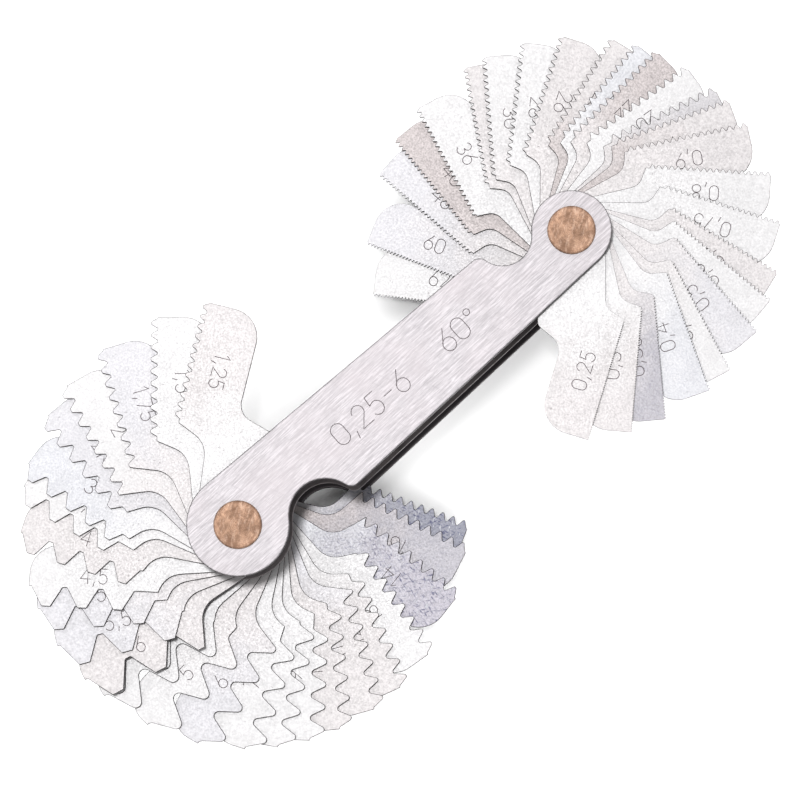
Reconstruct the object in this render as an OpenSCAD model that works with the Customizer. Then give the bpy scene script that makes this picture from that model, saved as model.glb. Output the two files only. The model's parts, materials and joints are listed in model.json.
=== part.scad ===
// Screw pitch gauge: two fans of toothed steel leaves on two rivets, held between two
// cover plates with a divider plate between the metric and the inch leaves.
//
// Frame: origin at the flat of the lower coarse rivet head, +X towards the fine rivet,
// +Z up along both rivets. The metric leaves lie above the divider, the inch leaves below.
// Each leaf is drawn folded shut, pointing at the other rivet, and then turned to its rest.

/* [Handle] */
// Distance between the two rivet axes
rivet_spacing = 55.1; // [54.8:0.1:60]
// Radius of the plates round the coarse rivet
coarse_end_r = 6.4; // [6.2:0.1:7]
// Radius of the plates round the fine rivet
fine_end_r = 5; // [4.9:0.1:5.5]
// Radius of the thumb notch beside the coarse rivet
coarse_notch_r = 4.5; // [4:0.05:4.6]
// Radius of the thumb notch beside the fine rivet
fine_notch_r = 3.6; // [3.2:0.05:3.8]
// Radius that rounds each thumb notch's far lip
notch_lip_r = 1.3; // [0.5:0.1:2]
// Thickness of each cover plate
cover_t = 1; // [0.8:0.1:1.5]
// Thickness of the divider plate
divider_t = 0.6; // [0.4:0.1:1]

/* [Rivets] */
// Radius of the rivet heads
head_r = 3; // [2.5:0.1:3.5]
// Height of the rivet heads
head_h = 1.1; // [0.9:0.1:1.5]
// Height of the straight rim of each head
head_rim_h = 0.4; // [0.2:0.1:0.5]
// Radius of the flat on each head
head_flat_r = 1.6; // [1:0.1:2]
// Radius of the rivet shanks
shank_r = 1.6; // [1.2:0.1:2]
// Running clearance of a leaf on its rivet
pivot_clearance = 0.05; // [0.02:0.01:0.09]

/* [Leaves] */
// Thickness of a leaf
leaf_t = 0.45; // [0.4:0.01:0.5]
// Gap between neighbouring leaves
leaf_gap = 0.03; // [0.03:0.01:0.1]
// Radius of the rounded corner opposite the teeth
back_corner_r = 3.6; // [1.5:0.1:4]

/* [Coarse leaves] */
// Radius of the round root of a coarse leaf
coarse_root_r = 5.9; // [5.5:0.1:5.9]
// Length of the toothed edge of a coarse leaf
coarse_edge_l = 15.15; // [14.9:0.05:15.3]
// Slope of the toothed edge to a folded coarse leaf's centre line
coarse_edge_slope = 21.5; // [21:0.1:22]
// Width of the blade of a coarse leaf
coarse_blade_w = 7.65; // [7.4:0.05:7.8]
// Least distance of a coarse leaf's last crest from the heel, below 0 where the neck may cut it
coarse_crest_limit = -0.62; // [-0.7:0.02:0.6]

/* [Fine leaves] */
// Radius of the round root of a fine leaf
fine_root_r = 4.7; // [4.4:0.1:4.8]
// Length of the toothed edge of a fine leaf
fine_edge_l = 15.55; // [15.2:0.05:15.7]
// Slope of the toothed edge to a folded fine leaf's centre line
fine_edge_slope = 21.9; // [21:0.1:22]
// Width of the blade of a fine leaf
fine_blade_w = 6.65; // [6.4:0.05:6.8]
// Least distance of a fine leaf's last crest from the heel
fine_crest_limit = 0.1; // [0:0.05:1]

/* [Hidden] */
$fn = 96;
INCH = 25.4;
COARSE = 0;
FINE = 1;

// Thread sizes from the top cover down: metric pitches in mm, inch threads in teeth per inch
metric_pitch = [
  [1.25, 1.5, 1.75, 2, 2.5, 3, 3.5, 4, 4.5, 5, 5.5, 6],
  [0.25, 0.3, 0.35, 0.4, 0.45, 0.5, 0.6, 0.7, 0.75, 0.8, 0.9, 1]
];
inch_tpi = [
  [4, 4.5, 5, 6, 7, 8, 9, 10, 11, 12, 13, 14, 16, 18],
  [19, 20, 22, 24, 25, 26, 28, 30, 32, 36, 40, 48, 60, 62]
];

// How far each leaf is fanned out at rest, in degrees from folded, from the top cover down
metric_rest = [
  [56, 70, 86.5, 100, 109.5, 123.5, 130, 142.5, 157, 164, 175.5, 187.5],
  [53.5, 65.5, 75.5, 90, 98, 111, 120.5, 128.5, 142.5, 156.5, 172, 180.5]
];
inch_rest = [
  [188, 194.5, 207.5, 220.5, 232, 240, 248, 256, 266, 274.5, 285.5, 301.5, 313.5, 319.5],
  [186, 196, 205.5, 211.5, 218.5, 232.5, 243.5, 255, 261, 278.5, 289, 299.5, 319, 333.5]
];

// Heights of the stack, from the rest plane up
metric_count = len(metric_pitch[COARSE]);
inch_count = len(inch_tpi[COARSE]);
layer_h = leaf_t + leaf_gap;
bottom_cover_z = head_h;
inch_bay_z = bottom_cover_z + cover_t;
divider_z = inch_bay_z + inch_count * layer_h;
metric_bay_z = divider_z + divider_t;
top_cover_z = metric_bay_z + metric_count * layer_h;
stack_top_z = top_cover_z + cover_t;

// Leaf outline, folded: x towards the other rivet, y towards the teeth, then corner radius
root_r = [coarse_root_r, fine_root_r];
edge_l = [coarse_edge_l, fine_edge_l];
edge_slope = [coarse_edge_slope, fine_edge_slope];
blade_w = [coarse_blade_w, fine_blade_w];
crest_limit = [coarse_crest_limit, fine_crest_limit];
heel = [[14.15, 6.3], [11.65, 5.6]];
neck = [[10.65, 2.7, 3], [9.9, 3.35, 1.8]];
lug = [[10.9, -5.5, 1], [11.3, -5.2, 0.9]];
notch_u = [2.6, 5.2];
notch_r = 2.2;
edge_stock = 0.3;
tip_flat = 0.02;

// Plate outline: radius of each end and of its thumb notch, and the angle at which the round
// of the end runs over into the notch
end_r = [coarse_end_r, fine_end_r];
thumb_notch_r = [coarse_notch_r, fine_notch_r];
thumb_notch_a = [35.2, 36.4];
arc_step_a = 6;

// Thread forms: a metric gauge tooth is flat at crest and root, an inch tooth is round
METRIC_HALF_ANGLE = 30;
METRIC_CREST = 1 / 4;
METRIC_ROOT = 1 / 8;
INCH_HALF_ANGLE = 27.5;
INCH_ROUND_R = 0.1373;
INCH_DEPTH = 0.6403;
ROUND_STEPS = 3;
comb_margin = 1.5;
comb_runout = 6.5;

function hundredths(v) = round(100 * v);
function decimals(h) = h % 10 == 0 ? h / 10 : h;
function number_name(v) =
  hundredths(v) % 100 == 0
    ? str(round(v))
    : str(floor(v), "_", decimals(hundredths(v) % 100));
function metric_name(end, i) = str("metric_leaf_", number_name(metric_pitch[end][i]));
function inch_name(end, i) = str("inch_leaf_", number_name(inch_tpi[end][i]));

// ---- outlines ----

function unit(v) = v / norm(v);
function xy(p) = [p.x, p.y];

// Points of the arc of radius r that rounds corner b between a and c
function corner_arc(a, b, c, r) =
  let (
    to_a = unit(a - b),
    to_c = unit(c - b),
    half = acos(to_a * to_c) / 2,
    centre = b + unit(to_a + to_c) * r / sin(half),
    start = b + to_a * r / tan(half) - centre,
    side = sign(to_a.x * to_c.y - to_a.y * to_c.x),
    steps = ceil((180 - 2 * half) / 10)
  )
  [for (k = [0:steps])
    let (turn = -side * (180 - 2 * half) * k / steps)
    centre + [start.x * cos(turn) - start.y * sin(turn), start.x * sin(turn) + start.y * cos(turn)]];

// Closed outline through [x, y, radius] corners
function rounded(corners) =
  let (n = len(corners))
  [for (k = [0:n - 1])
    each corners[k].z == 0
      ? [xy(corners[k])]
      : corner_arc(xy(corners[(k + n - 1) % n]), xy(corners[k]), xy(corners[(k + 1) % n]), corners[k].z)];

// Point u along the toothed edge from the heel and v back from it
function blade(end, u, v, r = 0) =
  [
    heel[end].x + u * cos(edge_slope[end]) - v * sin(edge_slope[end]),
    heel[end].y - u * sin(edge_slope[end]) - v * cos(edge_slope[end]),
    r
  ];

// Corners of a leaf before its teeth are cut
function blank(end) =
  [
    [1, root_r[end] - 0.6, 0],
    neck[end],
    blade(end, 0, 0),
    blade(end, 0, -edge_stock),
    blade(end, edge_l[end] + tip_flat, -edge_stock),
    blade(end, edge_l[end] + tip_flat, blade_w[end], back_corner_r),
    blade(end, notch_u[end], blade_w[end], notch_r),
    lug[end],
    [1, 0.6 - root_r[end], 0]
  ];

// Whole grooves that fit on an edge, which ends in half a groove at the tip
function groove_count(end, pitch, crest) =
  floor((edge_l[end] - crest_limit[end] - (pitch + crest) / 2) / pitch);

// Outline of the cutter that leaves the teeth: half a groove at the tip, whole grooves
// inwards from it, then a run-out at full depth over the neck
function comb(end, depth, grooves) =
  concat(
    [[edge_l[end] + comb_margin, -comb_margin], [edge_l[end] + comb_margin, depth]],
    grooves,
    [[-comb_runout, depth], [-comb_runout, -comb_margin]]
  );

function metric_comb(end, pitch) =
  let (
    half_crest = METRIC_CREST * pitch / 2,
    half_root = METRIC_ROOT * pitch / 2,
    flank = pitch / 2 - half_crest - half_root,
    depth = flank / tan(METRIC_HALF_ANGLE),
    count = groove_count(end, pitch, 2 * half_crest)
  )
  comb(end, depth, [
    for (k = [0:count])
      let (root_u = edge_l[end] - k * pitch, crest_u = root_u - pitch / 2)
      each [
        if (k > 0) [root_u + half_root, depth],
        [root_u - half_root, depth],
        [crest_u + half_crest, 0],
        [crest_u - half_crest, 0],
        if (k == count) [crest_u - half_crest - flank, depth]
      ]
  ]);

// Points of a rounded crest or root from step first to step last; side is 1 for a root
function inch_round(u, v, r, side, first, last) =
  [for (s = [first:last])
    let (a = (INCH_HALF_ANGLE - 90) * s / ROUND_STEPS)
    [u + r * sin(a), v + side * r * cos(a)]];

function inch_comb(end, tpi) =
  let (
    pitch = INCH / tpi,
    r = INCH_ROUND_R * pitch,
    depth = INCH_DEPTH * pitch,
    count = groove_count(end, pitch, 2 * r * cos(INCH_HALF_ANGLE))
  )
  comb(end, depth, [
    for (k = [0:count])
      let (root_u = edge_l[end] - k * pitch, crest_u = root_u - pitch / 2)
      each concat(
        inch_round(root_u, depth - r, r, 1, k == 0 ? 0 : -ROUND_STEPS, ROUND_STEPS),
        inch_round(crest_u, r, r, -1, -ROUND_STEPS, ROUND_STEPS),
        k < count ? [] : inch_round(crest_u - pitch / 2, depth - r, r, 1, -ROUND_STEPS, 0)
      )
  ]);

function in_leaf(end, points) = [for (p = points) xy(blade(end, p.x, p.y))];

// ---- leaves ----

module leaf(end, comb_points) {
  difference() {
    union() {
      cylinder(r = root_r[end], h = leaf_t);
      linear_extrude(leaf_t) polygon(rounded(blank(end)));
    }
    translate([0, 0, -leaf_t]) {
      linear_extrude(3 * leaf_t) polygon(in_leaf(end, comb_points));
      cylinder(r = shank_r + pivot_clearance, h = 3 * leaf_t);
    }
  }
}

// Puts a leaf on its rivet, fanned out by angle, with its lower face at height z
module on_rivet(end, angle, z) {
  translate([end == COARSE ? 0 : rivet_spacing, 0, z])
    rotate([0, 0, angle + (end == COARSE ? 0 : 180)])
      children();
}

module metric_leaf(end, i) {
  color("whitesmoke")
    on_rivet(end, metric_rest[end][i], top_cover_z - (i + 1) * layer_h + leaf_gap / 2)
      leaf(end, metric_comb(end, metric_pitch[end][i]));
}

module inch_leaf(end, i) {
  color("gainsboro")
    on_rivet(end, inch_rest[end][i], divider_z - (i + 1) * layer_h + leaf_gap / 2)
      leaf(end, inch_comb(end, inch_tpi[end][i]));
}

// ---- handle ----

// Points of an arc; first is 1 where the point before it is the arc's own start
function arc(centre, r, from, to, first = 1) =
  let (steps = ceil(abs(to - from) / arc_step_a))
  [for (k = [first:steps])
    let (a = from + (to - from) * k / steps)
    centre + r * [cos(a), sin(a)]];

// Outline of one end of a plate, its rivet at the origin and the other one at +x: round the
// end, into the thumb notch, and over the notch's far lip to the straight side
function plate_end(end) =
  let (
    r = end_r[end],
    side_a = acos((r - end_r[1 - end]) / rivet_spacing),
    to_side = [cos(side_a), -sin(side_a)],
    along_side = [sin(side_a), cos(side_a)],
    bite_r = thumb_notch_r[end],
    bite = (r + bite_r) * [cos(thumb_notch_a[end]), -sin(thumb_notch_a[end])],
    lip_depth = r - notch_lip_r,
    rise = to_side * bite - lip_depth,
    run = sqrt((bite_r + notch_lip_r) ^ 2 - rise ^ 2),
    lip = to_side * lip_depth + along_side * (along_side * bite + run),
    lip_a = atan2(lip.y - bite.y, lip.x - bite.x)
  )
  concat(
    arc([0, 0], r, side_a, 360 - thumb_notch_a[end], 0),
    arc(bite, bite_r, 180 - thumb_notch_a[end], lip_a),
    arc(lip, notch_lip_r, 180 + lip_a, 360 - side_a)
  );

// A handle plate of thickness t, with a thumb notch beside each rivet and a hole at each
module handle_plate(t) {
  difference() {
    linear_extrude(t)
      polygon(concat(plate_end(COARSE), [for (p = plate_end(FINE)) [rivet_spacing, 0] - p]));
    translate([0, 0, -t]) {
      cylinder(r = shank_r, h = 3 * t);
      translate([rivet_spacing, 0, 0]) cylinder(r = shank_r, h = 3 * t);
    }
  }
}

module top_cover() {
  color("lightgray") translate([0, 0, top_cover_z]) handle_plate(cover_t);
}

module bottom_cover() {
  color("lightgray") translate([0, 0, bottom_cover_z]) handle_plate(cover_t);
}

module divider_plate() {
  color("silver") translate([0, 0, divider_z]) handle_plate(divider_t);
}

// A low dome on a straight rim, with a small flat on top
module rivet_head() {
  rise = head_h - head_rim_h;
  below = (head_r * head_r - head_flat_r * head_flat_r - rise * rise) / (2 * rise);
  dome_r = norm([head_r, below]);
  intersection() {
    cylinder(r = head_r, h = head_h);
    translate([0, 0, head_rim_h - below]) sphere(r = dome_r);
  }
}

module rivet() {
  cylinder(r = shank_r, h = stack_top_z);
  translate([0, 0, stack_top_z]) rivet_head();
  translate([0, 0, bottom_cover_z]) mirror([0, 0, 1]) rivet_head();
}

module coarse_rivet() {
  color("peru") rivet();
}

module fine_rivet() {
  color("peru") translate([rivet_spacing, 0, 0]) rivet();
}

top_cover();
bottom_cover();
divider_plate();
coarse_rivet();
fine_rivet();
for (end = [COARSE, FINE]) {
  for (i = [0:metric_count - 1])
    metric_leaf(end, i);
  for (i = [0:inch_count - 1])
    inch_leaf(end, i);
}
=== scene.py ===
import json
import math
import random

import bmesh
import bpy
from mathutils import Euler, Matrix, Vector


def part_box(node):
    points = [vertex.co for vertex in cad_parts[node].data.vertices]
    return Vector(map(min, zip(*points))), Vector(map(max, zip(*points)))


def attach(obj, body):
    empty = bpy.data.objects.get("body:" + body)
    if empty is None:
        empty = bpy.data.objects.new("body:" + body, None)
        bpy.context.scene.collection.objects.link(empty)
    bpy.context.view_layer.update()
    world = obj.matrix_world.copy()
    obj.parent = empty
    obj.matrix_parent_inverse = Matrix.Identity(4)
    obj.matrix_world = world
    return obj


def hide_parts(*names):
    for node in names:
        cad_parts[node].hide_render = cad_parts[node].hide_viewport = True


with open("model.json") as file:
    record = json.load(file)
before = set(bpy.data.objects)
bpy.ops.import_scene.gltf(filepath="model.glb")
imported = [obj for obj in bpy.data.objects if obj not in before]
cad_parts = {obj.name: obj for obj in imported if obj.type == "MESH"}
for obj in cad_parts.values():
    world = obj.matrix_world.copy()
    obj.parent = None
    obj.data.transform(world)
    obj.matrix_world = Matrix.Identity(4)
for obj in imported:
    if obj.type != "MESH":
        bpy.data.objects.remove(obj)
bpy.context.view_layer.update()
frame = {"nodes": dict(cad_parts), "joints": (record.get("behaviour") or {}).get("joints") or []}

MM = 0.001
SCENE = bpy.context.scene
JOINTS = {joint["child"]: joint for joint in frame["joints"]}
RIVET_X = {
    end: (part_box(f"{end}_rivet")[0].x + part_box(f"{end}_rivet")[1].x) / 2
    for end in ("coarse", "fine")
}


# ---- camera, light and floor ----

CAMERA_AT = Vector((7.254, -65.364, 655.563)) * MM
CAMERA_TURN = Euler((0.0929, 0.0447, -0.7226))
CAMERA_LENS = 233.9
CAMERA_SENSOR = 36
CAMERA_NEAR = 0.01
FLOOR_SIZE = 3.0
FLOOR_COLOUR = (0.93, 0.93, 0.93, 1)
FLOOR_ROUGHNESS = 0.9
KEY_LIGHT_AT = (0.062, 0.301, 2.6)
KEY_LIGHT_AIM = (0.027, 0, 0)
KEY_LIGHT_SIZE = 0.28
KEY_LIGHT_POWER = 14.5
SKY_STRENGTH = 3.4
# Brightness of the sky at heights from the horizon, 0, to straight above, 1
SKY_BANDS = [(0.10, 0.02), (0.38, 1.0), (0.72, 1.0), (0.90, 0.10)]


def add_camera():
    data = bpy.data.cameras.new("camera")
    data.lens = CAMERA_LENS
    data.sensor_width = CAMERA_SENSOR
    data.clip_start = CAMERA_NEAR
    camera = bpy.data.objects.new("camera", data)
    camera.location = CAMERA_AT
    camera.rotation_euler = CAMERA_TURN
    SCENE.collection.objects.link(camera)
    SCENE.camera = camera


def add_key_light():
    data = bpy.data.lights.new("key", "AREA")
    data.size = KEY_LIGHT_SIZE
    data.energy = KEY_LIGHT_POWER
    light = bpy.data.objects.new("key", data)
    light.location = KEY_LIGHT_AT
    beam = Vector(KEY_LIGHT_AIM) - Vector(KEY_LIGHT_AT)
    light.rotation_euler = beam.to_track_quat("-Z", "Y").to_euler()
    SCENE.collection.objects.link(light)


def add_floor():
    mesh = bpy.data.meshes.new("floor")
    half = FLOOR_SIZE / 2
    corners = [(-half, -half, 0), (half, -half, 0), (half, half, 0), (-half, half, 0)]
    mesh.from_pydata(corners, [], [(0, 1, 2, 3)])
    floor = bpy.data.objects.new("floor", mesh)
    SCENE.collection.objects.link(floor)
    material = bpy.data.materials.new("floor")
    material.use_nodes = True
    shader = material.node_tree.nodes["Principled BSDF"]
    shader.inputs["Base Color"].default_value = FLOOR_COLOUR
    shader.inputs["Roughness"].default_value = FLOOR_ROUGHNESS
    mesh.materials.append(material)


def add_world():
    """A bright ring of sky for the floor, dark at the horizon and overhead for contrast on the steel."""
    world = bpy.data.worlds.new("studio")
    world.use_nodes = True
    SCENE.world = world
    tree = world.node_tree
    background = tree.nodes["Background"]
    position = tree.nodes.new("ShaderNodeTexCoord")
    split = tree.nodes.new("ShaderNodeSeparateXYZ")
    ramp = tree.nodes.new("ShaderNodeValToRGB")
    bands = ramp.color_ramp.elements
    for _ in SKY_BANDS[2:]:
        bands.new(0.5)
    for band, (height, level) in zip(bands, SKY_BANDS):
        band.position = height
        band.color = (level, level, level, 1)
    tree.links.new(position.outputs["Generated"], split.inputs[0])
    tree.links.new(split.outputs["Z"], ramp.inputs[0])
    tree.links.new(ramp.outputs["Color"], background.inputs["Color"])
    background.inputs["Strength"].default_value = SKY_STRENGTH


# ---- materials ----

# Where a mix node of colours has its sockets, which share their names with its other types'
MIX_COLOUR_A = 6
MIX_COLOUR_B = 7
MIX_COLOUR_RESULT = 2


class Nodes:
    """Short calls for building one material's node tree."""

    def __init__(self, name):
        self.material = bpy.data.materials.new(name)
        self.material.use_nodes = True
        self.tree = self.material.node_tree
        self.shader = self.tree.nodes["Principled BSDF"]
        self.object_place = self.add("ShaderNodeTexCoord").outputs["Object"]

    def add(self, kind, **settings):
        node = self.tree.nodes.new(kind)
        for key, value in settings.items():
            setattr(node, key, value)
        return node

    def put(self, socket, value):
        if isinstance(value, bpy.types.NodeSocket):
            self.tree.links.new(value, socket)
        else:
            socket.default_value = value

    def turned(self, angle, scale, at=(0, 0, 0)):
        """Object coordinates turned by -angle about Z and then scaled, so X runs along angle."""
        shifted = self.add("ShaderNodeMapping", vector_type="TEXTURE")
        self.put(shifted.inputs["Vector"], self.object_place)
        self.put(shifted.inputs["Location"], at)
        self.put(shifted.inputs["Rotation"], (0, 0, angle))
        scaled = self.add("ShaderNodeMapping")
        self.put(scaled.inputs["Vector"], shifted.outputs[0])
        self.put(scaled.inputs["Scale"], scale)
        return scaled.outputs[0]

    def noise(self, place, scale, detail=2, roughness=0.5):
        node = self.add("ShaderNodeTexNoise")
        self.put(node.inputs["Vector"], place)
        self.put(node.inputs["Scale"], scale)
        self.put(node.inputs["Detail"], detail)
        self.put(node.inputs["Roughness"], roughness)
        return node.outputs["Fac"]

    def remap(self, value, low, high, to_low=0.0, to_high=1.0):
        node = self.add("ShaderNodeMapRange", clamp=True)
        for name, number in zip(("Value", "From Min", "From Max", "To Min", "To Max"),
                                (value, low, high, to_low, to_high)):
            self.put(node.inputs[name], number)
        return node.outputs[0]

    def math(self, operation, a, b=0.0):
        node = self.add("ShaderNodeMath", operation=operation)
        self.put(node.inputs[0], a)
        self.put(node.inputs[1], b)
        return node.outputs[0]

    def times(self, a, b):
        return self.math("MULTIPLY", a, b)

    def mix(self, share, a, b):
        node = self.add("ShaderNodeMix", data_type="RGBA")
        self.put(node.inputs["Factor"], share)
        self.put(node.inputs[MIX_COLOUR_A], a)
        self.put(node.inputs[MIX_COLOUR_B], b)
        return node.outputs[MIX_COLOUR_RESULT]

    def facing_up(self):
        """1 on faces that look up or down, 0 on side walls."""
        normal = self.add("ShaderNodeTexCoord").outputs["Normal"]
        split = self.add("ShaderNodeSeparateXYZ")
        self.put(split.inputs[0], normal)
        return self.math("ABSOLUTE", split.outputs["Z"])

    def facing_out(self, middle_z):
        """1 on faces that look away from the height middle_z, 0 on those that look towards it."""
        height = self.add("ShaderNodeSeparateXYZ")
        self.put(height.inputs[0], self.object_place)
        normal = self.add("ShaderNodeSeparateXYZ")
        self.put(normal.inputs[0], self.add("ShaderNodeTexCoord").outputs["Normal"])
        above = self.math("SIGN", self.math("SUBTRACT", height.outputs["Z"], middle_z))
        return self.math("GREATER_THAN", self.times(above, normal.outputs["Z"]), 0.0)

    def finish(self, colour, roughness, height, depth, metallic=1.0):
        self.put(self.shader.inputs["Base Color"], colour)
        self.put(self.shader.inputs["Roughness"], roughness)
        self.put(self.shader.inputs["Metallic"], metallic)
        bump = self.add("ShaderNodeBump")
        self.put(bump.inputs["Height"], height)
        self.put(bump.inputs["Distance"], depth)
        self.put(bump.inputs["Strength"], 1.0)
        self.put(self.shader.inputs["Normal"], bump.outputs[0])
        return self.material


def rgba(colour, shade=1.0):
    return (*(channel * shade for channel in colour), 1)


# Shared by the leaves and the covers: painted shade for side walls and edge chamfers, and the depth of the
# finest marks
WALL_PAINTED_SHADE = (0.022, 0.018, 0.019, 1)
FINE_RELIEF = 0.003 * MM

SPECKLE_COLOUR = (0.062, 0.064, 0.105, 1)
PIT_COLOUR = (0.13, 0.11, 0.115, 1)
GLINT = (0.98, 0.98, 1.0)
STEEL_SHADE = 0.40
GRAIN_SHADE = STEEL_SHADE * 0.60

# Colour of each leaf look beside white steel, then how much grain and how much blue speckle it has
LEAF_LOOKS = {
    "white": ((1.0, 0.985, 0.995), 0.30, 0.0),
    "pink": ((0.95, 0.91, 0.915), 0.50, 0.0),
    "violet": ((0.94, 0.925, 0.96), 0.42, 0.04),
    "blue": ((0.945, 0.945, 0.985), 0.42, 0.10),
    "grey": ((0.87, 0.845, 0.87), 0.55, 0.06),
    "brown": ((0.82, 0.75, 0.745), 0.85, 0.0),
    "slate": ((0.70, 0.68, 0.73), 0.60, 0.22),
    "mottled": ((0.72, 0.69, 0.76), 0.50, 0.85),
    "dark": ((0.45, 0.455, 0.53), 0.50, 1.0),
}
# Looks at a leaf's root and at its tip; a leaf that isn't listed is white all over
LOOKS_OF_LEAVES = {
    ("white", "pink"): ("metric_leaf_1_25", "metric_leaf_0_25", "metric_leaf_0_3", "inch_leaf_12"),
    ("white", "blue"): ("metric_leaf_3", "metric_leaf_0_4", "inch_leaf_24"),
    ("pink", "white"): ("metric_leaf_2", "metric_leaf_0_45", "inch_leaf_5", "inch_leaf_30"),
    ("pink", "pink"): ("metric_leaf_4", "metric_leaf_6", "metric_leaf_0_7", "metric_leaf_0_9",
                       "inch_leaf_10", "inch_leaf_26", "inch_leaf_32"),
    ("pink", "violet"): ("metric_leaf_1_75", "metric_leaf_5", "metric_leaf_5_5", "metric_leaf_0_5",
                         "inch_leaf_6", "inch_leaf_48", "inch_leaf_60"),
    ("violet", "pink"): ("inch_leaf_11",),
    ("grey", "violet"): ("metric_leaf_2_5",),
    ("pink", "grey"): ("inch_leaf_19",),
    ("pink", "slate"): ("metric_leaf_0_35",),
    ("brown", "brown"): ("inch_leaf_40",),
    ("brown", "pink"): ("inch_leaf_25", "metric_leaf_1"),
    ("pink", "brown"): ("inch_leaf_22",),
    ("brown", "slate"): ("inch_leaf_16",),
    ("blue", "mottled"): ("inch_leaf_14",),
    ("grey", "dark"): ("inch_leaf_18",),
}
LOOKS = {leaf: looks for looks, leaves in LOOKS_OF_LEAVES.items() for leaf in leaves}
# The root's look holds up to this distance from the rivet, and the tip's look from the other
ROOT_LOOK_TO = 9 * MM
TIP_LOOK_FROM = 21 * MM
LOOK_BORDER_WANDER = 22 * MM


def leaf_steel(name, angle, rivet_at):
    """Satin steel tinted from root to tip, with grain, pits, hair scratches and painted shade on its side
    walls and chamfers.
    """
    (root, root_grain, root_speckle), (tip, tip_grain, tip_speckle) = (
        LEAF_LOOKS[look] for look in LOOKS.get(name, ("white", "white"))
    )
    n = Nodes(f"{name}_steel")
    here = n.turned(angle, (1, 1, 1), rivet_at)
    along = n.add("ShaderNodeSeparateXYZ")
    n.put(along.inputs[0], here)
    blotches = n.noise(here, 210, 4, 0.6)
    uneven = n.times(n.math("SUBTRACT", blotches, 0.5), LOOK_BORDER_WANDER)
    out = n.remap(n.math("ADD", along.outputs["X"], uneven), ROOT_LOOK_TO, TIP_LOOK_FROM)
    tint = n.mix(out, rgba(root, STEEL_SHADE), rgba(tip, STEEL_SHADE))
    deep = n.mix(out, rgba(root, GRAIN_SHADE), rgba(tip, GRAIN_SHADE))
    grain = n.noise(here, 4300, 4, 0.75)
    strokes = [
        n.noise(n.turned(angle + turn, (950, 3500, 1)), 1.0, 2, 0.6)
        for turn in (0.4, 1.5, 2.5)
    ]
    felt = n.math("MAXIMUM", n.math("MAXIMUM", strokes[0], strokes[1]), strokes[2])
    pits = n.remap(n.noise(n.turned(angle + 1.1, (1300, 3600, 1)), 1.0, 4, 0.75), 0.62, 0.69)
    hairs = n.remap(n.noise(n.turned(angle + 0.7, (130, 3600, 1)), 1.0, 4, 0.7), 0.68, 0.74)
    worn = n.remap(blotches, 0.42, 0.68)
    graininess = n.remap(out, 0.0, 1.0, root_grain, tip_grain)
    speckling = n.remap(out, 0.0, 1.0, root_speckle, tip_speckle)
    colour = n.mix(n.times(worn, 0.22), tint, deep)
    colour = n.mix(n.times(n.remap(grain, 0.42, 0.66), graininess), colour, deep)
    colour = n.mix(n.times(n.remap(felt, 0.56, 0.68), speckling), colour, SPECKLE_COLOUR)
    bright = n.times(n.remap(strokes[1], 0.60, 0.68), speckling)
    colour = n.mix(n.times(bright, 0.8), colour, rgba(GLINT, STEEL_SHADE))
    colour = n.mix(n.times(pits, n.remap(out, 0.0, 1.0, 0.80, 0.35)), colour, PIT_COLOUR)
    colour = n.mix(n.times(hairs, 0.40), colour, PIT_COLOUR)
    # Painted shade: side walls and chamfers, tilted away from the top face, are coloured near black
    colour = n.mix(n.remap(n.facing_up(), 0.72, 0.97), WALL_PAINTED_SHADE, colour)
    roughness = n.remap(grain, 0.3, 0.7, 0.36, 0.46)
    height = n.math("SUBTRACT", grain, n.math("ADD", pits, n.times(hairs, 0.7)))
    return n.finish(colour, roughness, height, FINE_RELIEF)


COVER_TINT = (0.297, 0.281, 0.292)
COVER_STAIN = (0.297, 0.266, 0.276, 1)
COVER_INNER_PAINTED_SHADE = (0.06, 0.054, 0.057, 1)


def brushed_cover_steel(stack_middle):
    """Steel brushed along the handle, with fine cross scratches, and painted shade on its side walls,
    rounded edges and inner face.
    """
    n = Nodes("cover_steel")
    brushing = n.noise(n.turned(0, (260, 4200, 1)), 1.0, 5, 0.75)
    fine = n.noise(n.turned(0.05, (420, 6500, 1)), 1.0, 3, 0.7)
    slanted = n.remap(n.noise(n.turned(0.14, (150, 4600, 1)), 1.0, 3, 0.7), 0.60, 0.68)
    crossed = n.remap(n.noise(n.turned(-1.15, (170, 3800, 1)), 1.0, 3, 0.7), 0.60, 0.68)
    blotches = n.noise(n.turned(0, (1, 1, 1)), 160, 3, 0.5)
    colour = n.mix(n.remap(brushing, 0.40, 0.60), rgba(COVER_TINT, 0.60), rgba(COVER_TINT, 1.38))
    colour = n.mix(n.remap(fine, 0.46, 0.62, 0.0, 0.75), colour, rgba(COVER_TINT, 0.70))
    colour = n.mix(n.times(slanted, 0.65), colour, rgba(COVER_TINT, 1.40))
    colour = n.mix(n.times(crossed, 0.35), colour, rgba(COVER_TINT, 0.68))
    colour = n.mix(n.remap(blotches, 0.4, 0.7, 0.0, 0.30), colour, COVER_STAIN)
    # Painted shade: the faces that look into the handle are coloured near black
    colour = n.mix(n.facing_out(stack_middle), COVER_INNER_PAINTED_SHADE, colour)
    # Painted shade: side walls and rounded edges are coloured near black
    colour = n.mix(n.remap(n.facing_up(), 0.55, 0.97), WALL_PAINTED_SHADE, colour)
    roughness = n.remap(brushing, 0.3, 0.7, 0.34, 0.44)
    height = n.math("ADD", brushing, n.times(n.math("SUBTRACT", slanted, crossed), 0.5))
    return n.finish(colour, roughness, height, FINE_RELIEF)


DIVIDER_TINT = (0.12, 0.108, 0.11)
DIVIDER_SPOT_COLOUR = (0.05, 0.04, 0.038, 1)
DIVIDER_RELIEF = 0.005 * MM


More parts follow.
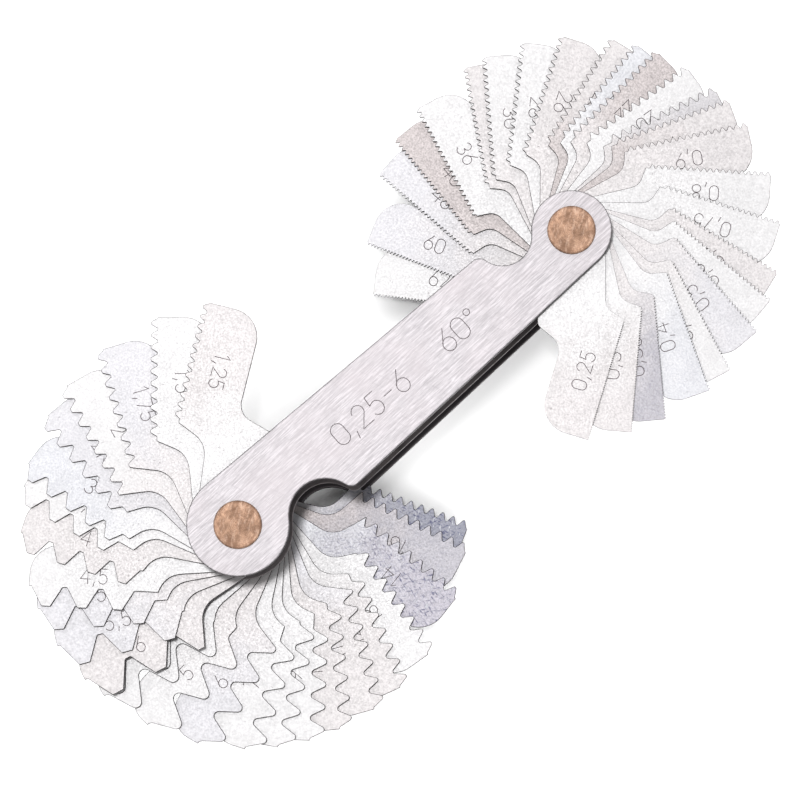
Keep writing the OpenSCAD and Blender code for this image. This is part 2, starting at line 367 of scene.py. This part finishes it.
def divider_steel():
    """Dull steel brushed along the handle, with dark oil spots."""
    n = Nodes("divider_steel")
    brushing = n.noise(n.turned(0, (90, 4000, 1)), 1.0, 3, 0.6)
    spots = n.noise(n.turned(0, (1, 1, 1)), 900, 4, 0.6)
    colour = n.mix(brushing, rgba(DIVIDER_TINT, 0.75), rgba(DIVIDER_TINT, 1.1))
    colour = n.mix(n.remap(spots, 0.5, 0.75, 0.0, 0.6), colour, DIVIDER_SPOT_COLOUR)
    roughness = n.remap(spots, 0.3, 0.7, 0.35, 0.55)
    return n.finish(colour, roughness, brushing, DIVIDER_RELIEF)


COPPER_COLOUR = (0.43, 0.27, 0.185, 1)
COPPER_TARNISH = (0.150, 0.086, 0.057, 1)
COPPER_MOTTLE = (0.215, 0.128, 0.088, 1)
COPPER_RUB = (0.62, 0.45, 0.35, 1)
COPPER_RING = (0.16, 0.092, 0.06, 1)
COPPER_SPECK = (0.11, 0.068, 0.048, 1)
COPPER_RELIEF = 0.014 * MM


def rivet_copper(name, at):
    """Copper alloy with faint turning rings, brown tarnish, dark specks and bright rubs."""
    n = Nodes(name)
    place = n.turned(0, (1, 1, 1), at)
    rings = n.add("ShaderNodeTexWave", wave_type="RINGS", rings_direction="Z")
    n.put(rings.inputs["Vector"], place)
    n.put(rings.inputs["Scale"], 1500.0)
    n.put(rings.inputs["Distortion"], 2.5)
    n.put(rings.inputs["Detail"], 2.0)
    n.put(rings.inputs["Detail Scale"], 1.5)
    rubs = n.remap(n.noise(n.turned(0.7, (600, 2200, 1), at), 1.0, 5, 0.7), 0.50, 0.70)
    tarnish = n.noise(place, 700, 6, 0.75)
    mottle = n.noise(place, 2600, 4, 0.7)
    specks = n.remap(n.noise(place, 6500, 3, 0.6), 0.58, 0.68)
    colour = n.mix(n.remap(tarnish, 0.40, 0.60), COPPER_COLOUR, COPPER_TARNISH)
    colour = n.mix(n.remap(mottle, 0.40, 0.66, 0.0, 0.6), colour, COPPER_MOTTLE)
    colour = n.mix(n.times(rubs, 0.65), colour, COPPER_RUB)
    colour = n.mix(n.times(rings.outputs["Fac"], 0.30), colour, COPPER_RING)
    colour = n.mix(n.times(specks, 0.5), colour, COPPER_SPECK)
    roughness = n.remap(mottle, 0.3, 0.7, 0.42, 0.58)
    height = n.math("ADD", n.times(rings.outputs["Fac"], 0.3), mottle)
    return n.finish(colour, roughness, height, COPPER_RELIEF)


# Dark colours for the walls of the engraved figures
GROOVE_DARK_COLOUR = (0.075, 0.065, 0.07, 1)
GROOVE_SPECK_COLOUR = (0.20, 0.17, 0.18, 1)


def groove_darkening():
    """The dark bottom of an engraved line."""
    n = Nodes("groove_darkening")
    specks = n.noise(n.turned(0, (1, 1, 1)), 6000, 2)
    colour = n.mix(specks, GROOVE_DARK_COLOUR, GROOVE_SPECK_COLOUR)
    return n.finish(colour, 0.6, specks, FINE_RELIEF, metallic=0.6)


# ---- engraving ----

def arc(cx, cy, rx, ry, start, end, steps=10):
    """Points on an ellipse from start to end degrees, in a glyph's cell."""
    angles = [math.radians(start + (end - start) * k / steps) for k in range(steps + 1)]
    return [(cx + rx * math.cos(a), cy + ry * math.sin(a)) for a in angles]


# Single-stroke figures in a cell 1 high: width, then strokes; a stroke that ends where it starts is a loop
GLYPHS = {
    "0": (0.62, [arc(0.31, 0.70, 0.29, 0.28, 0, 180) + arc(0.31, 0.30, 0.29, 0.28, 180, 360)
                 + [(0.60, 0.70)]]),
    "1": (0.36, [[(0.04, 0.76), (0.24, 1.0), (0.24, 0.0)]]),
    "2": (0.60, [arc(0.30, 0.72, 0.27, 0.27, 170, -35) + [(0.04, 0.02), (0.60, 0.02)]]),
    "3": (0.58, [arc(0.28, 0.75, 0.24, 0.24, 150, -90) + arc(0.28, 0.26, 0.28, 0.25, 90, -150)]),
    "4": (0.66, [[(0.50, 0.0), (0.50, 1.0), (0.03, 0.30), (0.66, 0.30)]]),
    "5": (0.60, [[(0.54, 0.98), (0.13, 0.98), (0.09, 0.56)] + arc(0.29, 0.32, 0.28, 0.31, 120, -150)]),
    "6": (0.60, [[(0.48, 0.99)] + arc(0.31, 0.31, 0.28, 0.30, 160, 520, 16)]),
    "7": (0.56, [[(0.02, 0.98), (0.56, 0.98), (0.18, 0.0)]]),
    "8": (0.60, [arc(0.30, 0.76, 0.23, 0.22, -90, 270, 14), arc(0.30, 0.26, 0.28, 0.25, 90, 450, 14)]),
    "9": (0.60, [arc(0.29, 0.69, 0.28, 0.30, -20, 340, 16)[:-1] + [(0.56, 0.60), (0.12, 0.01)]]),
    ",": (0.22, [[(0.13, 0.12), (0.05, -0.16)]]),
    "-": (0.50, [[(0.05, 0.48), (0.45, 0.48)]]),
    "°": (0.34, [arc(0.17, 0.84, 0.14, 0.14, 0, 360, 12)]),
    " ": (0.45, []),
}
GLYPH_GAP = 0.15
GROOVE_WIDTH = 0.105 * MM
GROOVE_DEPTH = 0.05 * MM
SAME_POINT = 1e-7


def text_strokes(text, height):
    """The strokes of a line of figures, centred on the origin."""
    strokes = []
    x = 0.0
    for letter in text:
        width, paths = GLYPHS[letter]
        for path in paths:
            strokes.append([((px + x) * height, (py - 0.5) * height) for px, py in path])
        x += width + GLYPH_GAP
    length = (x - GLYPH_GAP) * height
    return [[(px - length / 2, py) for px, py in path] for path in strokes]


def add_groove_bar(bm, path):
    """A three-sided bar along one stroke, with its point down."""
    closed = (Vector(path[0]) - Vector(path[-1])).length < SAME_POINT
    points = [Vector(p) for p in (path[:-1] if closed else path)]
    count = len(points)
    rings = []
    for k, point in enumerate(points):
        before = points[k - 1] if closed or k > 0 else None
        after = points[(k + 1) % count] if closed or k < count - 1 else None
        into = (point - before).normalized() if before else (after - point).normalized()
        out = (after - point).normalized() if after else into
        along = (into + out).normalized()
        side = Vector((-along.y, along.x))
        reach = GROOVE_WIDTH / max(along.dot(into), 0.5)
        if not closed and k in (0, count - 1):
            point = point + (out if k else -into) * GROOVE_WIDTH / 2
        rings.append([
            bm.verts.new((*(point + side * reach), GROOVE_DEPTH)),
            bm.verts.new((*(point - side * reach), GROOVE_DEPTH)),
            bm.verts.new((*point, -GROOVE_DEPTH)),
        ])
    for k in range(count if closed else count - 1):
        a, b = rings[k], rings[(k + 1) % count]
        for i in range(3):
            j = (i + 1) % 3
            bm.faces.new((a[i], a[j], b[j], b[i]))
    if not closed:
        bm.faces.new(rings[0][::-1])
        bm.faces.new(rings[-1])


def groove_cutter(name, strokes, place):
    """A hidden mesh whose points cut V grooves along the strokes, below place's plane."""
    bm = bmesh.new()
    for path in strokes:
        add_groove_bar(bm, path)
    bmesh.ops.recalc_face_normals(bm, faces=bm.faces)
    mesh = bpy.data.meshes.new(name)
    bm.to_mesh(mesh)
    bm.free()
    mesh.transform(place)
    mesh.materials.append(GROOVE_DARKENING)
    cutter = bpy.data.objects.new(name, mesh)
    SCENE.collection.objects.link(cutter)
    cutter.hide_render = True
    cutter.hide_viewport = True
    return cutter


# ---- leaves ----

# Where a leaf's number stands on its folded outline, as in the CAD source: the heel of the
# toothed edge, that edge's slope, then the number's centre along the edge and back from it
NUMBER_PLACE = {
    "coarse": {"heel": (14.15, 6.3), "slope": 21.5, "along": 7.1, "back": 4.05},
    "fine": {"heel": (11.65, 5.6), "slope": 21.9, "along": 7.5, "back": 3.1},
}
NUMBER_HEIGHT = 1.95 * MM
LEAF_CHAMFER = 0.06 * MM


def leaf_number(name):
    """The figures on a leaf, from its node's name, with a decimal comma."""
    return name.split("leaf_")[1].replace("_", ",")


def leaf_pitch(name):
    """A leaf's tooth spacing in millimetres."""
    number = float(leaf_number(name).replace(",", "."))
    return number if name.startswith("metric") else 25.4 / number


def end_of(name):
    """The end of the handle whose rivet a leaf turns on."""
    near_fine = JOINTS[name]["pos_m"][0] > (RIVET_X["coarse"] + RIVET_X["fine"]) / 2
    return "fine" if near_fine else "coarse"


def leaf_turn(name):
    """How far a leaf at rest has turned from pointing along +X."""
    folded = math.pi if end_of(name) == "fine" else 0.0
    return folded - math.radians(JOINTS[name]["range_deg"][0])


def number_matrix(name):
    """Places figures on a leaf's top face: they read towards the rivet, tops away from the teeth."""
    spot = NUMBER_PLACE[end_of(name)]
    slope = math.radians(spot["slope"])
    towards_rivet = Vector((-math.cos(slope), math.sin(slope), 0))
    away_from_teeth = Vector((-math.sin(slope), -math.cos(slope), 0))
    centre = Vector((*spot["heel"], 0)) * MM - towards_rivet * spot["along"] * MM
    centre += away_from_teeth * spot["back"] * MM
    top = Matrix.Translation((RIVET_X[end_of(name)], 0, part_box(name)[1].z))
    local = Matrix.Identity(4)
    for row in range(3):
        local[row][0] = towards_rivet[row]
        local[row][1] = away_from_teeth[row]
        local[row][3] = centre[row]
    return top @ Matrix.Rotation(leaf_turn(name), 4, "Z") @ local


# Faces this close to one plane, in degrees, become one face
FLAT_WITHIN = 0.5


def tidy_mesh(obj):
    """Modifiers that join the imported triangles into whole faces."""
    weld = obj.modifiers.new("weld", "WELD")
    weld.merge_threshold = SAME_POINT
    planar = obj.modifiers.new("planar", "DECIMATE")
    planar.decimate_type = "DISSOLVE"
    planar.angle_limit = math.radians(FLAT_WITHIN)


def chamfer(obj, width, segments=1, angle=40):
    bevel = obj.modifiers.new("chamfer", "BEVEL")
    bevel.width = width
    bevel.segments = segments
    bevel.limit_method = "ANGLE"
    bevel.angle_limit = math.radians(angle)
    bevel.use_clamp_overlap = False
    bevel.loop_slide = False
    bevel.miter_outer = "MITER_SHARP"


def engrave(obj, cutter):
    cut = obj.modifiers.new("engraving", "BOOLEAN")
    cut.object = cutter
    cut.operation = "DIFFERENCE"
    cut.solver = "EXACT"
    cut.use_self = True
    cut.material_mode = "TRANSFER"


def set_material(obj, material):
    obj.data.materials.clear()
    obj.data.materials.append(material)


def dress_leaf(name):
    leaf = frame["nodes"][name]
    set_material(leaf, leaf_steel(name, leaf_turn(name), (RIVET_X[end_of(name)], 0, 0)))
    tidy_mesh(leaf)
    chamfer(leaf, LEAF_CHAMFER * min(1.0, leaf_pitch(name)))
    strokes = text_strokes(leaf_number(name), NUMBER_HEIGHT)
    engrave(leaf, groove_cutter(f"{name}_number", strokes, number_matrix(name)))


# ---- handle ----

COVER_ROUNDING = 0.16 * MM
DIVIDER_CHAMFER = 0.05 * MM
PLATE_EDGE_ANGLE = 50
COVER_TEXT_HEIGHT = 3.0 * MM
COVER_TEXT = {"top_cover": "0,25-6   60°", "bottom_cover": "4-62   55°"}


def cover_text_matrix(name):
    """The middle of a cover's outer face; the lower cover reads from below."""
    low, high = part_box(name)
    middle = (RIVET_X["coarse"] + RIVET_X["fine"]) / 2
    if name == "top_cover":
        return Matrix.Translation((middle, 0, high.z))
    return Matrix.Translation((middle, 0, low.z)) @ Matrix.Rotation(math.pi, 4, "X")


def dress_cover(name, steel):
    cover = frame["nodes"][name]
    set_material(cover, steel)
    tidy_mesh(cover)
    chamfer(cover, COVER_ROUNDING, segments=3, angle=PLATE_EDGE_ANGLE)
    strokes = text_strokes(COVER_TEXT[name], COVER_TEXT_HEIGHT)
    engrave(cover, groove_cutter(f"{name}_figures", strokes, cover_text_matrix(name)))


def dress_divider():
    divider = frame["nodes"]["divider_plate"]
    set_material(divider, divider_steel())
    tidy_mesh(divider)
    chamfer(divider, DIVIDER_CHAMFER, angle=PLATE_EDGE_ANGLE)


# ---- rivets ----

# A rivet head's half section above its plate: radius and height, both as shares of the head's
HEAD_SECTION = [
    (0.97, 0.0), (1.0, 0.10), (1.0, 0.24), (0.975, 0.38), (0.90, 0.55), (0.76, 0.74), (0.58, 0.90),
    (0.40, 0.985), (0.22, 1.0), (0.13, 0.98), (0.09, 0.93), (0.05, 0.99), (0.0, 1.0),
]
HEAD_SIDES = 72
SHANK_SHARE = 0.53
# Shallow dents in the upper head: how many, how deep, and their place and size as shares of its radius
DENT_COUNT = 9
DENT_DEPTH = 0.02 * MM
DENT_REACH = (0.1, 0.8)
DENT_SIZE = (0.25, 0.5)


def section_curve(points, steps=4):
    """The section with points added on a smooth curve through them."""
    smooth = []
    for k in range(len(points) - 1):
        a, b = Vector(points[k]), Vector(points[k + 1])
        before = Vector(points[k - 1]) if k else a
        after = Vector(points[k + 2]) if k + 2 < len(points) else b
        for s in range(steps):
            t = s / steps
            line = 2 * a + (b - before) * t
            bend = (2 * before - 5 * a + 4 * b - after) * t * t
            twist = (3 * a - before - 3 * b + after) * t ** 3
            smooth.append(0.5 * (line + bend + twist))
    return [*smooth, Vector(points[-1])]


def rivet_profile(low_z, plate_low, plate_high, high_z, head_r):
    """The rivet's half section from its top to its bottom, as radius and height."""
    section = section_curve(HEAD_SECTION)
    shank_r = head_r * SHANK_SHARE
    upper = [(v.x * head_r, plate_high + v.y * (high_z - plate_high)) for v in reversed(section)]
    lower = [(v.x * head_r, plate_low + v.y * (low_z - plate_low)) for v in section]
    return [*upper, (shank_r, plate_high), (shank_r, plate_low), *lower]


def head_dents(end, head_r):
    """The dents of one end's rivet: direction, distance from the middle and size."""
    rng = random.Random(end)
    dents = []
    for _ in range(DENT_COUNT):
        direction = rng.uniform(0, 2 * math.pi)
        distance = rng.uniform(*DENT_REACH) * head_r
        dents.append((direction, distance, rng.uniform(*DENT_SIZE) * head_r))
    return dents


def sunk_by(dents, x, y):
    """How far a point of the head is sunk, where the middle of one dent is 1."""
    return sum(
        math.exp(-((x - r * math.cos(t)) ** 2 + (y - r * math.sin(t)) ** 2) / size ** 2)
        for t, r, size in dents
    )


def join_rings(bm, a, b):
    """Faces between two rings of a turned piece, either of which may be a single point."""
    for k in range(HEAD_SIDES):
        j = (k + 1) % HEAD_SIDES
        if len(a) == 1:
            bm.faces.new((a[0], b[k], b[j]))
        elif len(b) == 1:
            bm.faces.new((a[k], b[0], a[j]))
        else:
            bm.faces.new((a[k], b[k], b[j], a[j]))


def make_rivet(end, plate_low, plate_high):
    """A shank with two domed heads, turned in one piece, the upper one a little uneven from riveting."""
    node = f"{end}_rivet"
    low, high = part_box(node)
    head_r = (high.x - low.x) / 2
    dents = head_dents(end, head_r)
    bm = bmesh.new()
    rings = []
    for radius, height in rivet_profile(low.z, plate_low, plate_high, high.z, head_r):
        if radius < SAME_POINT:
            rings.append([bm.verts.new((0, 0, height))])
            continue
        up_the_head = max(0.0, (height - plate_high) / (high.z - plate_high))
        ring = []
        for k in range(HEAD_SIDES):
            a = 2 * math.pi * k / HEAD_SIDES
            x, y = radius * math.cos(a), radius * math.sin(a)
            z = height - DENT_DEPTH * sunk_by(dents, x, y) * up_the_head
            ring.append(bm.verts.new((x, y, z)))
        rings.append(ring)
    for upper, lower in zip(rings, rings[1:]):
        join_rings(bm, upper, lower)
    bmesh.ops.recalc_face_normals(bm, faces=bm.faces)
    mesh = bpy.data.meshes.new(f"{end}_rivet_turned")
    bm.to_mesh(mesh)
    bm.free()
    mesh.transform(Matrix.Translation((RIVET_X[end], 0, 0)))
    mesh.shade_smooth()
    rivet = bpy.data.objects.new(f"{end}_rivet_turned", mesh)
    SCENE.collection.objects.link(rivet)
    set_material(rivet, rivet_copper(f"{end}_rivet_copper", (RIVET_X[end], 0, 0)))
    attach(rivet, "handle")
    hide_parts(node)


# ---- build ----

SCENE.view_settings.view_transform = "Standard"
add_camera()
add_world()
add_floor()
add_key_light()

GROOVE_DARKENING = groove_darkening()
for leaf_name in JOINTS:
    dress_leaf(leaf_name)
stack_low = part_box("bottom_cover")[0].z
stack_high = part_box("top_cover")[1].z
cover_steel = brushed_cover_steel((stack_low + stack_high) / 2)
for cover_name in COVER_TEXT:
    dress_cover(cover_name, cover_steel)
dress_divider()
for rivet_end in RIVET_X:
    make_rivet(rivet_end, stack_low, stack_high)
